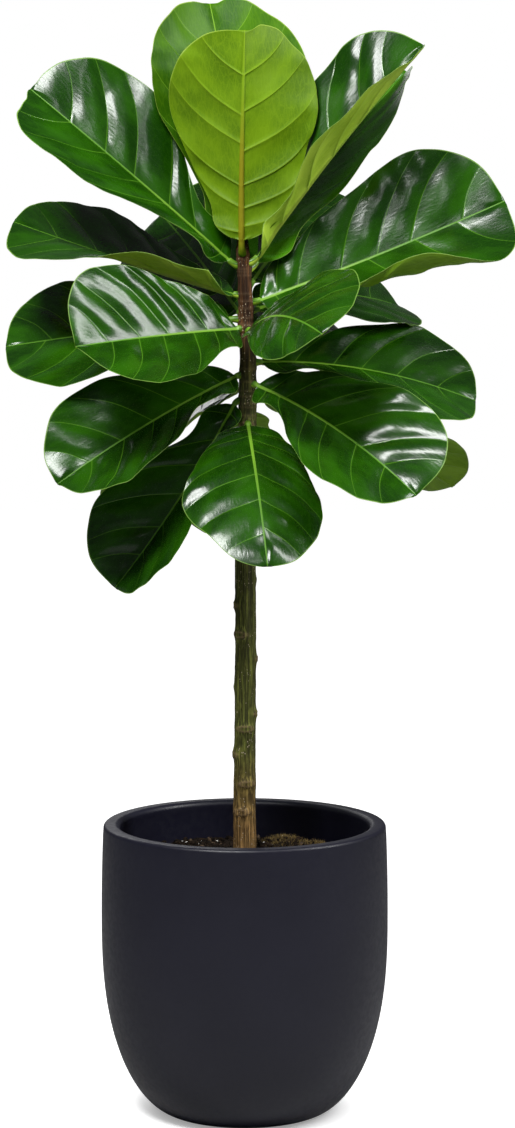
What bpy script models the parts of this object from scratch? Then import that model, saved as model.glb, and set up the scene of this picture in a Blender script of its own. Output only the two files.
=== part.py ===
"""A potted fiddle leaf fig: one bare trunk with a head of broad leathery leaves, in a round planter.

Units are metres, +Z is up, and the origin is the centre of the planter's base. Angles are degrees:
an azimuth turns from +X towards +Y, and a pitch rises from the horizontal.
"""

from collections import namedtuple

import bmesh
import bpy
import numpy as np

GAP = 0.0003  # clearance between pieces that touch

# Planter: an egg-shaped shell with a flat foot and a broad rounded lip.
SEGMENTS = 48
POT_HEIGHT = 0.3235
POT_BELLY_HEIGHT = 0.215
POT_BELLY_RADIUS = 0.1600
POT_LIP_RADIUS = 0.1575
POT_FOOT_RADIUS = 0.086
POT_WALL = 0.0185
POT_FLOOR = 0.020
LIP_OUTER_ROUND = 0.004
LIP_INNER_ROUND = 0.006
OUTSIDE_HEIGHTS = (0.001, 0.004, 0.010, 0.020, 0.034, 0.052, 0.075, 0.105, 0.140, 0.180, 0.215, 0.270)
CAVITY_HEIGHTS = (0.026, 0.034, 0.048, 0.068, 0.095, 0.130, 0.175, 0.225, 0.262)
FLOOR_ROUND = 0.012  # how far the cavity's floor stops short of its lowest wall
DRAIN_RADIUS = 0.006
DRAIN_CIRCLE = 0.045
DRAIN_COUNT = 3
DRILL_LENGTH = 0.08

# Potting soil: it fills the planter up to a gentle mound round the trunk.
SOIL_EDGE = 0.280
SOIL_MOUND = 0.010
SOIL_POCKET_FLOOR = 0.225  # the trunk's foot stands here
SOIL_CLEARANCE = 0.0005
MOUND_SHARES = (0.93, 0.80, 0.62, 0.42, 0.24, 0.13)  # shares of the soil's radius, edge inwards

# Trunk: (height, radius, x, y) of the centre line, from its buried foot to the growing tip.
TRUNK_SIDES = 16
TRUNK_WIDEST = 0.0124
TRUNK = (
    (0.2260, 0.0105, 0.0000, 0.0),
    (0.2600, 0.0122, 0.0000, 0.0),
    (0.2950, TRUNK_WIDEST, 0.0000, 0.0),
    (0.4000, 0.0122, 0.0004, 0.0),
    (0.5000, 0.0114, 0.0008, 0.0),
    (0.6200, 0.0110, 0.0012, 0.0),
    (0.7200, 0.0105, 0.0022, 0.0),
    (0.7900, 0.0092, 0.0036, 0.0),
    (0.8400, 0.0082, 0.0038, 0.0),
    (0.8900, 0.0075, 0.0016, 0.0),
    (0.9300, 0.0070, 0.0000, 0.0),
    (0.9600, 0.0066, -0.0020, 0.0),
    (0.9720, 0.0050, -0.0020, 0.0),
)
SCARS = (0.395, 0.444, 0.502, 0.562, 0.628, 0.690, 0.735)  # heights of old leaf scars
SCAR_SWELLING = 0.0008
SCAR_LENGTH = 0.005
SCAR_RINGS = (-0.006, 0.0, 0.006)

# Leaf outline: the side vein that leaves the midrib at s reaches the margin at u along the blade
# and v out from it. s and u are shares of the leaf's length, v of its half width.
MARGIN = (
    (0.00, 0.00, 0.06), (0.04, 0.01, 0.22), (0.10, 0.07, 0.35), (0.18, 0.17, 0.44),
    (0.28, 0.30, 0.61), (0.40, 0.45, 0.81), (0.52, 0.59, 0.96), (0.64, 0.73, 1.00),
    (0.76, 0.85, 0.90), (0.86, 0.94, 0.68), (0.94, 0.985, 0.40), (1.00, 1.00, 0.06),
)
WAIST_AT = 0.22  # where the blade's sides draw in, and over what share of its length
WAIST_SPAN = 0.14
DRAWN_FROM = 0.75  # the margin is drawn back fully from here
DRAWN_TIP = 0.06  # and not at all at the tip, which it leaves over this share of the length
VEIN_SWEEP = 1.4  # how sharply a side vein turns towards the tip on its way out
OPENING = 0.12  # the blade lies flat where it joins the petiole, and is fully folded by this share
CURL_BEND = 2  # how strongly the curl gathers towards the margin
SECTION_STEPS = 6  # samples of the slope between the midrib and a point of the blade
RIGHT_PHASE = 0.37  # how far the right margin's waves run ahead of the left's
BLADE_ROWS = (0.0, 0.04, 0.10, 0.18, 0.28, 0.40, 0.52, 0.64, 0.76, 0.86, 0.94, 1.0)
BLADE_COLUMNS = (0.10, 0.58, 1.0)
BLADE_THICKNESS = 0.0010
MIDRIB_DEPTH = 0.0026
MIDRIB_SPREAD = 0.12
MIDRIB_TAPER = 0.8
PETIOLE_RADIUS = 0.0034
PETIOLE_RINGS = (-1.0, -0.55, -0.15)

# One leaf. height: where it leaves the trunk. azimuth: at the leaf's base and tip. pitch: at the
# petiole's foot, the blade's base and its tip. roll: turns the upper face towards the leaf's left,
# at the base and tip. halves: widths of the blade's left and right halves. petiole: its length.
# waist: how far the sides draw in behind the broad end, left and right. fold and curl: how far each
# half rises from flat at the midrib, and how much more it has turned by the margin; each is
# (left base, left tip, right base, right tip). wave: (height, waves along the margin, phase).
# drawn: how far the broad end is drawn back towards the base, left and right, in shares of the length.
Leaf = namedtuple("Leaf", "height azimuth pitch roll length halves petiole waist fold curl wave drawn",
                  defaults=[(0.0, 0.0)])

LEAVES = {
    "crown_leaf_front": Leaf(0.956, (-95, -60), (40, 84, 87), (0, 0), 0.225, (0.091, 0.080), 0.016,
                             (-0.25, 0.0), (5, 5, 18, 16), (5, 5, 10, 10), (0.002, 3.0, 0.0)),
    "crown_leaf_back": Leaf(0.961, (100, 140), (40, 76, 74), (5, 12), 0.264, (0.098, 0.102), 0.018,
                            (0.1, 0.0), (6, 6, 10, 8), (5, 10, 0, 5), (0.002, 3.0, 0.2)),
    "leaf_upper_left": Leaf(0.942, (184, 170), (25, 42, 39), (48, 48), 0.285, (0.086, 0.088), 0.012,
                            (0.4, 0.4), (30, 22, 20, 22), (0, 0, 0, 0), (0.003, 3.0, 0.1)),
    "leaf_mid_left": Leaf(0.910, (174, 176), (5, 16, 20), (18, 18), 0.255, (0.090, 0.090), 0.006,
                          (0.2, 0.2), (62, -16, 12, 10), (0, 0, 0, 0), (0.002, 2.5, 0.3)),
    "leaf_front_left": Leaf(0.873, (222, 218), (5, -2, -6), (50, 50), 0.220, (0.089, 0.086), 0.006,
                            (0.1, -0.2), (24, 22, 18, 18), (0, 0, 0, 0), (0.003, 2.5, 0.6)),
    "leaf_far_left": Leaf(0.883, (172, 176), (5, -5, -9), (50, 50), 0.250, (0.089, 0.086), 0.012,
                          (0.2, 0.2), (17, 17, -6, -6), (0, 0, 0, 0), (0.004, 2.5, 0.0)),
    "leaf_low_left": Leaf(0.822, (200, 200), (-5, -24, -34), (44, 44), 0.233, (0.081, 0.075), 0.006,
                          (0.3, 0.2), (36, 26, 19, 19), (0, 0, 0, 0), (0.003, 3.0, 0.4), (0.0, 0.04)),
    "leaf_bottom_left": Leaf(0.794, (190, 188), (-15, -62, -51), (48, 48), 0.240, (0.088, 0.074), 0.008,
                             (0.8, 0.2), (40, 36, 27, 27), (0, 0, 0, 0), (0.003, 3.0, 0.7)),
    "leaf_bottom_front": Leaf(0.769, (-87, -78), (0, -14, -64), (0, 0), 0.226, (0.073, 0.082), 0.010,
                              (-0.3, -0.1), (-4, -10, 0, -10), (-10, -30, -10, -30), (0.002, 2.0, 0.1),
                              (0.06, 0.14)),
    "leaf_low_right": Leaf(0.812, (-42, -36), (-8, -16, -38), (-46, -43), 0.243, (0.084, 0.078), 0.006,
                           (-0.1, 0.35), (4, 4, 26, 26), (0, 0, 0, 0), (0.003, 3.0, 0.5)),
    "leaf_right": Leaf(0.836, (12, 10), (5, 1, -22), (-32, -34), 0.248, (0.088, 0.090), 0.008,
                       (0.2, 0.5), (10, 9, 16, 9), (0, 0, 0, 0), (0.003, 3.0, 0.2)),
    "leaf_front_right": Leaf(0.871, (-75, -62), (5, 19, -19), (-47, -45), 0.208, (0.080, 0.056), 0.006,
                             (0.2, 0.2), (-4, -4, 5, 5), (0, 0, -20, -20), (0.002, 3.0, 0.8)),
    "leaf_upper_mid_right": Leaf(0.902, (2, 2), (10, 20, 24), (-50, -50), 0.288, (0.092, 0.100), 0.010,
                                 (-0.1, 0.0), (28, 26, 16, -10), (0, 0, 250, 45), (0.003, 2.5, 0.4)),
    "leaf_upper_right": Leaf(0.945, (-10, 6), (25, 55, 48), (-23, -23), 0.290, (0.082, 0.082), 0.012,
                             (0.4, 0.4), (32, 32, 52, 25), (0, 0, 0, 0), (0.003, 3.0, 0.6)),
    "leaf_right_back": Leaf(0.938, (38, 22), (25, 50, 45), (-25, -25), 0.288, (0.080, 0.088), 0.014,
                            (0.2, 0.2), (5, 5, 8, 40), (0, 0, 0, 0), (0.003, 3.0, 0.3)),
    "leaf_back_right": Leaf(0.892, (48, 46), (10, 14, -14), (-42, -38), 0.240, (0.080, 0.080), 0.014,
                            (0.2, 0.2), (5, 5, 16, 16), (0, 0, 0, 0), (0.002, 3.0, 0.9)),
    "leaf_back_right_inner": Leaf(0.870, (64, 58), (20, 6, -14), (-30, -30), 0.225, (0.083, 0.083), 0.014,
                                  (0.2, 0.2), (5, 5, 10, 10), (0, 0, 0, 0), (0.003, 3.0, 0.55)),
    "leaf_back_low_right": Leaf(0.798, (18, 16), (0, -15, -35), (24, 24), 0.244, (0.080, 0.076), 0.012,
                                (0.2, 0.2), (5, 5, 5, 5), (0, 0, 0, 0), (0.003, 3.0, 0.15)),
    "leaf_back": Leaf(0.918, (62, 62), (30, 34, 20), (-30, -30), 0.225, (0.080, 0.080), 0.014,
                      (0.2, 0.2), (10, 5, 10, 5), (0, 0, 0, 0), (0.003, 3.0, 0.45)),
    "leaf_back_left": Leaf(0.885, (116, 112), (30, 30, 22), (50, 50), 0.250, (0.088, 0.080), 0.014,
                           (0.2, 0.2), (5, 5, 5, 5), (0, 0, 0, 0), (0.003, 3.0, 0.65)),
    "leaf_back_low_left": Leaf(0.806, (132, 132), (0, -20, -40), (30, 30), 0.235, (0.080, 0.080), 0.012,
                               (0.2, 0.2), (5, 5, 5, 5), (0, 0, 0, 0), (0.003, 3.0, 0.85)),
    "leaf_back_low": Leaf(0.785, (92, 96), (0, -30, -60), (0, 0), 0.225, (0.070, 0.070), 0.012,
                          (0.2, 0.2), (5, 5, 5, 5), (-10, -10, -10, -10), (0.003, 3.0, 0.05)),
}

# Finishes: linear base colour, roughness, metallic.
GLAZE = ((0.022, 0.023, 0.030), 0.55, 0.0)
SOIL = ((0.030, 0.022, 0.014), 0.95, 0.0)
BARK = ((0.100, 0.075, 0.030), 0.80, 0.0)
OLD_LEAF = ((0.020, 0.095, 0.008), 0.30, 0.0)
YOUNG_LEAF = ((0.140, 0.300, 0.010), 0.35, 0.0)


# ---- curves -------------------------------------------------------------------------------------

def spline(x, xs, ys):
    """A smooth curve through the points (xs, ys), read at x."""
    xs = np.asarray(xs, float)
    ys = np.asarray(ys, float)
    slopes = np.gradient(ys, xs)
    i = np.clip(np.searchsorted(xs, x) - 1, 0, len(xs) - 2)
    h = xs[i + 1] - xs[i]
    f = (x - xs[i]) / h
    start = (1 + 2 * f) * (1 - f) ** 2 * ys[i] + f * (1 - f) ** 2 * h * slopes[i]
    end = f * f * (3 - 2 * f) * ys[i + 1] + f * f * (f - 1) * h * slopes[i + 1]
    return start + end


def mix(pair, f):
    """From pair[0] at f = 0 to pair[1] at f = 1."""
    return pair[0] + (pair[1] - pair[0]) * f


def arc(centre, radius, start, end, steps):
    """Points (r, z) along an arc, in degrees."""
    angles = np.radians(np.linspace(start, end, steps))
    return [(centre[0] + radius * np.cos(a), centre[1] + radius * np.sin(a)) for a in angles]


# ---- leaf shape ---------------------------------------------------------------------------------

def axes(azimuth, pitch, roll):
    """Unit vectors along the leaf, out of its upper face, and to its left."""
    a, e, r = np.radians(azimuth), np.radians(pitch), np.radians(roll)
    along = np.stack([np.cos(a) * np.cos(e), np.sin(a) * np.cos(e), np.sin(e)], -1)
    up = np.stack([-np.cos(a) * np.sin(e), -np.sin(a) * np.sin(e), np.cos(e)], -1)
    left = np.stack([-np.sin(a), np.cos(a), np.zeros_like(a)], -1)
    cos_roll, sin_roll = np.cos(r)[..., None], np.sin(r)[..., None]
    return along, up * cos_roll + left * sin_roll, left * cos_roll - up * sin_roll


def leaf_axes(leaf, u):
    """The leaf's axes at u: -1 at the petiole's foot, 0 where the blade starts, 1 at its tip."""
    petiole = np.clip(u + 1, 0, 1)
    blade = np.clip(u, 0, None)
    ease = petiole * petiole * (3 - 2 * petiole)
    azimuth = mix(leaf.azimuth, blade)
    pitch = np.where(u < 0, mix(leaf.pitch[:2], ease), mix(leaf.pitch[1:], blade))
    roll = np.where(u < 0, leaf.roll[0] * ease, mix(leaf.roll, blade))
    return axes(azimuth, pitch, roll)


def trunk_at(height):
    """Radius and centre (x, y) of the trunk at a height."""
    heights, radii, xs, ys = zip(*TRUNK)
    radius = np.interp(height, heights, radii)
    for scar in SCARS:
        radius = radius + SCAR_SWELLING * np.exp(-((height - scar) / SCAR_LENGTH) ** 2)
    return radius, np.interp(height, heights, xs), np.interp(height, heights, ys)


def leaf_root(leaf):
    """Where the petiole starts: just clear of the trunk."""
    radius, x, y = trunk_at(leaf.height)
    a = np.radians(leaf.azimuth[0])
    reach = radius + GAP
    return np.array([x + reach * np.cos(a), y + reach * np.sin(a), leaf.height])


def midrib(leaf, u):
    """Points of the midrib, and of the petiole before it."""
    grid = np.concatenate([np.linspace(-1, 0, 17)[:-1], np.linspace(0, 1.1, 81)])
    middle = (grid[1:] + grid[:-1]) / 2
    along = leaf_axes(leaf, middle)[0]
    step = np.diff(grid) * np.where(middle < 0, leaf.petiole, leaf.length)
    root = leaf_root(leaf)
    points = np.concatenate([[root], root + np.cumsum(along * step[:, None], 0)])
    return np.stack([np.interp(u, grid, points[:, k]) for k in range(3)], -1)


def section(y, share, fold, curl):
    """Where a point y along the blade's cross-section lies, out and up, and the slope there."""
    out = np.zeros_like(y)
    up = np.zeros_like(y)
    for place, weight in zip(*np.polynomial.legendre.leggauss(SECTION_STEPS)):
        slope = np.radians(fold + curl * (share * (place + 1) / 2) ** CURL_BEND)
        out = out + y * np.cos(slope) * weight / 2
        up = up + y * np.sin(slope) * weight / 2
    return out, up, np.radians(fold + curl * share ** CURL_BEND)


def blade(leaf, s, t):
    """Points and normals of the blade's upper face: s along the midrib, t from 1 left to -1 right."""
    side = np.abs(t)
    share, along, out = zip(*MARGIN)
    left = t > 0
    reach = spline(s, share, along)
    back = np.clip(reach / DRAWN_FROM, 0, 1) ** 3 * np.clip((1 - reach) / DRAWN_TIP, 0, 1)
    reach = reach - np.where(left, leaf.drawn[0], leaf.drawn[1]) * back
    u = s + (reach - s) * side ** VEIN_SWEEP
    waist = np.where(left, leaf.waist[0], leaf.waist[1]) * np.exp(-((u - WAIST_AT) / WAIST_SPAN) ** 2)
    half = np.where(left, leaf.halves[0], leaf.halves[1])
    y = spline(s, share, out) * (1 - waist) * side * half
    f = np.clip(u, 0, 1)
    opening = np.clip(u / OPENING, 0, 1)
    fold = np.where(left, mix(leaf.fold[:2], f), mix(leaf.fold[2:], f)) * opening
    curl = np.where(left, mix(leaf.curl[:2], f), mix(leaf.curl[2:], f)) * opening
    across, rise, slope = section(y, y / half, fold, curl)
    across = across * np.sign(t)
    height, count, phase = leaf.wave
    turns = count * u + phase + np.where(left, 0.0, RIGHT_PHASE)
    rise = rise + height * side ** 2 * np.sin(2 * np.pi * turns) * np.clip(4 * f * (1.1 - f), 0, 1)
    _, up, to_left = leaf_axes(leaf, u)
    points = midrib(leaf, u) + to_left * across[..., None] + up * rise[..., None]
    lean = np.sin(slope) * np.sign(t)
    return points, up * np.cos(slope)[..., None] - to_left * lean[..., None]


def leaf_rings(leaf):
    """Closed rings of points from the petiole's foot to the leaf's tip."""
    t = np.array([c for c in reversed(BLADE_COLUMNS)] + [0.0] + [-c for c in BLADE_COLUMNS])
    count = 2 * (len(t) - 1)
    rings = []
    for u in PETIOLE_RINGS:
        _, up, to_left = leaf_axes(leaf, np.array(u))
        if u == PETIOLE_RINGS[0]:
            up = np.array([0.0, 0.0, 1.0])  # the foot lies flat against the trunk
        turn = np.pi - 2 * np.pi * np.arange(count) / count
        circle = np.cos(turn)[:, None] * -to_left + np.sin(turn)[:, None] * up
        rings.append(midrib(leaf, np.array(u)) + PETIOLE_RADIUS * circle)
    for s in BLADE_ROWS:
        top, normal = blade(leaf, np.full_like(t, s), t)
        under = top[1:-1] - normal[1:-1] * blade_depth(s, t[1:-1])[:, None]
        rings.append(np.concatenate([top, under[::-1]]))
    return rings


def blade_depth(s, t):
    """Thickness of the blade, most along the midrib."""
    return BLADE_THICKNESS + MIDRIB_DEPTH * (1 - MIDRIB_TAPER * s) * np.exp(-(t / MIDRIB_SPREAD) ** 2)


# ---- meshes -------------------------------------------------------------------------------------

def finish(name, finish_values):
    """A Principled material."""
    colour, roughness, metallic = finish_values
    material = bpy.data.materials.new(name)
    material.use_nodes = True
    shader = material.node_tree.nodes["Principled BSDF"]
    shader.inputs["Base Color"].default_value = (*colour, 1.0)
    shader.inputs["Roughness"].default_value = roughness
    shader.inputs["Metallic"].default_value = metallic
    return material


def add_object(name, mesh_edit, finish_values):
    """Makes an object of a bmesh, with its faces pointing out and its own material."""
    bmesh.ops.recalc_face_normals(mesh_edit, faces=mesh_edit.faces)
    bmesh.ops.triangulate(mesh_edit, faces=mesh_edit.faces)
    mesh = bpy.data.meshes.new(name)
    mesh_edit.to_mesh(mesh)
    mesh_edit.free()
    mesh.shade_smooth()
    mesh.materials.append(finish(name, finish_values))
    item = bpy.data.objects.new(name, mesh)
    bpy.context.scene.collection.objects.link(item)
    return item


def loft(rings):
    """A closed skin through rings that have the same number of points, with flat ends."""
    edit = bmesh.new()
    rows = [[edit.verts.new(point) for point in ring] for ring in rings]
    for lower, upper in zip(rows, rows[1:]):
        for i in range(len(lower)):
            j = (i + 1) % len(lower)
            edit.faces.new((lower[i], lower[j], upper[j], upper[i]))
    edit.faces.new(rows[0])
    edit.faces.new(rows[-1])
    return edit


def turned(profile):
    """A solid of revolution: the profile's points (r, z) run from the axis to the axis."""
    edit = bmesh.new()
    verts = [edit.verts.new((r, 0.0, z)) for r, z in profile]
    edges = [edit.edges.new(pair) for pair in zip(verts, verts[1:])]
    bmesh.ops.spin(edit, geom=verts + edges, cent=(0, 0, 0), axis=(0, 0, 1), dvec=(0, 0, 0),
                   angle=2 * np.pi, steps=SEGMENTS, use_merge=True)
    bmesh.ops.remove_doubles(edit, verts=edit.verts, dist=1e-6)
    return edit


# ---- pieces -------------------------------------------------------------------------------------

def pot_radius(z):
    """Outer radius of the planter: nearly upright above the belly, rounding in to the foot."""
    if z >= POT_BELLY_HEIGHT:
        rise = (z - POT_BELLY_HEIGHT) / (POT_HEIGHT - POT_BELLY_HEIGHT)
        return POT_BELLY_RADIUS - (POT_BELLY_RADIUS - POT_LIP_RADIUS) * rise ** 2
    fall = (POT_BELLY_HEIGHT - z) / POT_BELLY_HEIGHT
    return POT_FOOT_RADIUS + (POT_BELLY_RADIUS - POT_FOOT_RADIUS) * (1 - fall ** 2.5) ** 0.6


def cavity_radius(z):
    """Inner radius of the planter."""
    return pot_radius(z) - POT_WALL


def floor_radius():
    """Radius of the flat floor inside the planter."""
    return cavity_radius(CAVITY_HEIGHTS[0]) - FLOOR_ROUND


def make_planter():
    outside = [(0.0, 0.0), (POT_FOOT_RADIUS, 0.0)]
    outside += [(pot_radius(z), z) for z in OUTSIDE_HEIGHTS]
    lip = POT_LIP_RADIUS
    top = POT_HEIGHT
    outer_round = arc((lip - LIP_OUTER_ROUND, top - LIP_OUTER_ROUND), LIP_OUTER_ROUND, 0, 90, 4)
    inner_round = arc((lip - POT_WALL + LIP_INNER_ROUND, top - LIP_INNER_ROUND), LIP_INNER_ROUND,
                      90, 180, 4)
    inside = [(cavity_radius(z), z) for z in reversed(CAVITY_HEIGHTS)]
    floor = [(floor_radius(), POT_FLOOR), (0.0, POT_FLOOR)]
    pot = add_object("planter", turned(outside + outer_round + inner_round + inside + floor), GLAZE)
    for i in range(DRAIN_COUNT):
        a = 2 * np.pi * (i + 0.25) / DRAIN_COUNT
        spot = (DRAIN_CIRCLE * np.cos(a), DRAIN_CIRCLE * np.sin(a), 0.0)
        bpy.ops.mesh.primitive_cylinder_add(vertices=12, radius=DRAIN_RADIUS, depth=DRILL_LENGTH,
                                            location=spot)
        drill = bpy.context.object
        drill.name = f"drain_drill_{i}"
        drill.hide_render = True
        drill.display_type = "WIRE"
        cut = pot.modifiers.new(f"drain_{i}", "BOOLEAN")
        cut.operation = "DIFFERENCE"
        cut.solver = "EXACT"
        cut.object = drill


def make_soil():
    bottom = POT_FLOOR + SOIL_CLEARANCE
    profile = [(0.0, bottom), (floor_radius() - SOIL_CLEARANCE, bottom)]
    profile += [(cavity_radius(z) - SOIL_CLEARANCE, z) for z in CAVITY_HEIGHTS]
    edge = cavity_radius(SOIL_EDGE) - SOIL_CLEARANCE
    pocket = TRUNK_WIDEST + 2 * GAP
    profile.append((edge, SOIL_EDGE))
    for share in MOUND_SHARES:
        dome = np.cos(share * np.pi / 2) ** 2
        profile.append((edge * share, SOIL_EDGE + SOIL_MOUND * dome))
    profile.append((pocket, SOIL_EDGE + SOIL_MOUND))
    profile.append((pocket, SOIL_POCKET_FLOOR))
    profile.append((0.0, SOIL_POCKET_FLOOR))
    add_object("potting_soil", turned(profile), SOIL)


def make_trunk():
    heights = sorted({row[0] for row in TRUNK} | {s + d for s in SCARS for d in SCAR_RINGS})
    rings = []
    for z in heights:
        radius, x, y = trunk_at(z)
        a = 2 * np.pi * np.arange(TRUNK_SIDES) / TRUNK_SIDES
        rings.append(np.stack([x + radius * np.cos(a), y + radius * np.sin(a), np.full(len(a), z)], -1))
    add_object("trunk", loft(rings), BARK)


def make_leaves():
    for name, leaf in LEAVES.items():
        colours = YOUNG_LEAF if name.startswith("crown") else OLD_LEAF
        add_object(name, loft(leaf_rings(leaf)), colours)


def main():
    for item in list(bpy.data.objects):
        bpy.data.objects.remove(item, do_unlink=True)
    make_planter()
    make_soil()
    make_trunk()
    make_leaves()


if __name__ == "__main__":
    main()
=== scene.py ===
"""Looks of the potted fiddle leaf fig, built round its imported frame.

Units are metres and angles are degrees. +Z is up and -Y faces the viewer. An azimuth turns from +X
towards +Y, and a pitch rises from the horizontal.
"""

import math
from collections import namedtuple

import bmesh
import bpy
import numpy as np
from mathutils import Matrix, Vector


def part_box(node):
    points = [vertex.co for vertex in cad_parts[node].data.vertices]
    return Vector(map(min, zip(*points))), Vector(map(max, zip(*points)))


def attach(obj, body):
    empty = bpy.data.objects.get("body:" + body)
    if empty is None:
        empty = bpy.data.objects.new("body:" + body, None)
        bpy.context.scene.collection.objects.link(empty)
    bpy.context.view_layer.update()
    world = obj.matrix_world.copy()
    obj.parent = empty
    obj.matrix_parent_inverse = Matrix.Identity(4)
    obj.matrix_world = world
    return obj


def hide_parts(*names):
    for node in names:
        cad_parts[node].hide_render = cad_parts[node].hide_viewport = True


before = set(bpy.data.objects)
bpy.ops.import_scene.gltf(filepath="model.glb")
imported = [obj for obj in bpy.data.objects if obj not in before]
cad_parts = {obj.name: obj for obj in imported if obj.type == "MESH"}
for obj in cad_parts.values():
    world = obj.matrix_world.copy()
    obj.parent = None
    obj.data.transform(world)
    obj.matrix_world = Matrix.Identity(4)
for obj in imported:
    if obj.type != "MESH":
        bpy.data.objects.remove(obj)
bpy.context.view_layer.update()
BODY = "root"
MM = 0.001

# The rest is placed from the boxes of the planter, the soil and the trunk.
POT_LOW, POT_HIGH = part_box("planter")
SOIL_LOW, SOIL_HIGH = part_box("potting_soil")
TRUNK_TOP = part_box("trunk")[1].z

# ---- leaves ----

# The trunk's centre line, as in the frame: (height, radius, x).
TRUNK = (
    (0.226, 0.0105, 0.0), (0.260, 0.0122, 0.0), (0.295, 0.0124, 0.0), (0.400, 0.0122, 0.0004),
    (0.500, 0.0114, 0.0008), (0.620, 0.0110, 0.0012), (0.720, 0.0105, 0.0022),
    (0.790, 0.0092, 0.0036), (0.840, 0.0082, 0.0038), (0.890, 0.0075, 0.0016),
    (0.930, 0.0070, 0.0), (0.960, 0.0066, -0.0020), (0.972, 0.0050, -0.0020),
)
TRUNK_GAP = 0.3 * MM

# Leaf outline, as (s, u, v): the side vein that leaves the midrib at s reaches the margin at u
# along the blade and v out from it. s and u are shares of the length, v of the half width.
MARGIN = np.array([
    (0.00, 0.00, 0.05), (0.008, 0.01, 0.14), (0.020, 0.035, 0.26), (0.04, 0.075, 0.37),
    (0.085, 0.17, 0.44), (0.145, 0.30, 0.61), (0.22, 0.45, 0.81), (0.32, 0.59, 0.96),
    (0.43, 0.73, 1.00), (0.56, 0.85, 0.90), (0.72, 0.94, 0.68), (0.88, 0.985, 0.40),
    (1.00, 1.00, 0.06),
])
# A side vein leaves the midrib at a slant and bends on towards the tip.
VEIN_SLANT = 0.65
VEIN_BEND = 3.2
# The waist: where the outline is drawn in, and over how much of the length.
WAIST_AT = 0.22
WAIST_SPAN = 0.14
# The broad end is drawn back in full past DRAWN_FROM, and less by the side veins after DRAWN_FADE.
DRAWN_FROM = 0.75
DRAWN_FADE = 0.62
# The side veins over which a lobe beside the tip rises, and where it falls again.
LOBE_RISE = (0.70, 0.86)
LOBE_FALL = 0.93
# Folds and curls open over this share of the blade, and curls grow away from the midrib.
OPENING = 0.12
CURL_BEND = 2
SECTION_STEPS = 6
# How far the right margin's waves are ahead of the left's.
RIGHT_PHASE = 0.37
# Points of the midrib's curve, which runs to just past the tip.
PETIOLE_POINTS = 17
BLADE_POINTS = 81
PAST_TIP = 1.1

# One leaf, as in the frame: the height where it leaves the trunk, its azimuth, its pitch at the
# petiole's foot, the blade's base and its tip, its roll, length, half widths, petiole, fold (left
# base, left tip, right base, right tip), the waves of its margin (height, number, phase), how much
# its waist is drawn in, its curl, how far its broad end is drawn back and how far the lobes beside
# its tip pass it. Pairs are (base, tip) for azimuth and roll, else (left, right); the last two are
# shares of the length.
Leaf = namedtuple("Leaf", "height azimuth pitch roll length halves petiole fold wave waist curl "
                  "drawn lobes", defaults=[(0.2, 0.2), (0, 0, 0, 0), (0.0, 0.0), (0.0, 0.0)])

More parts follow.
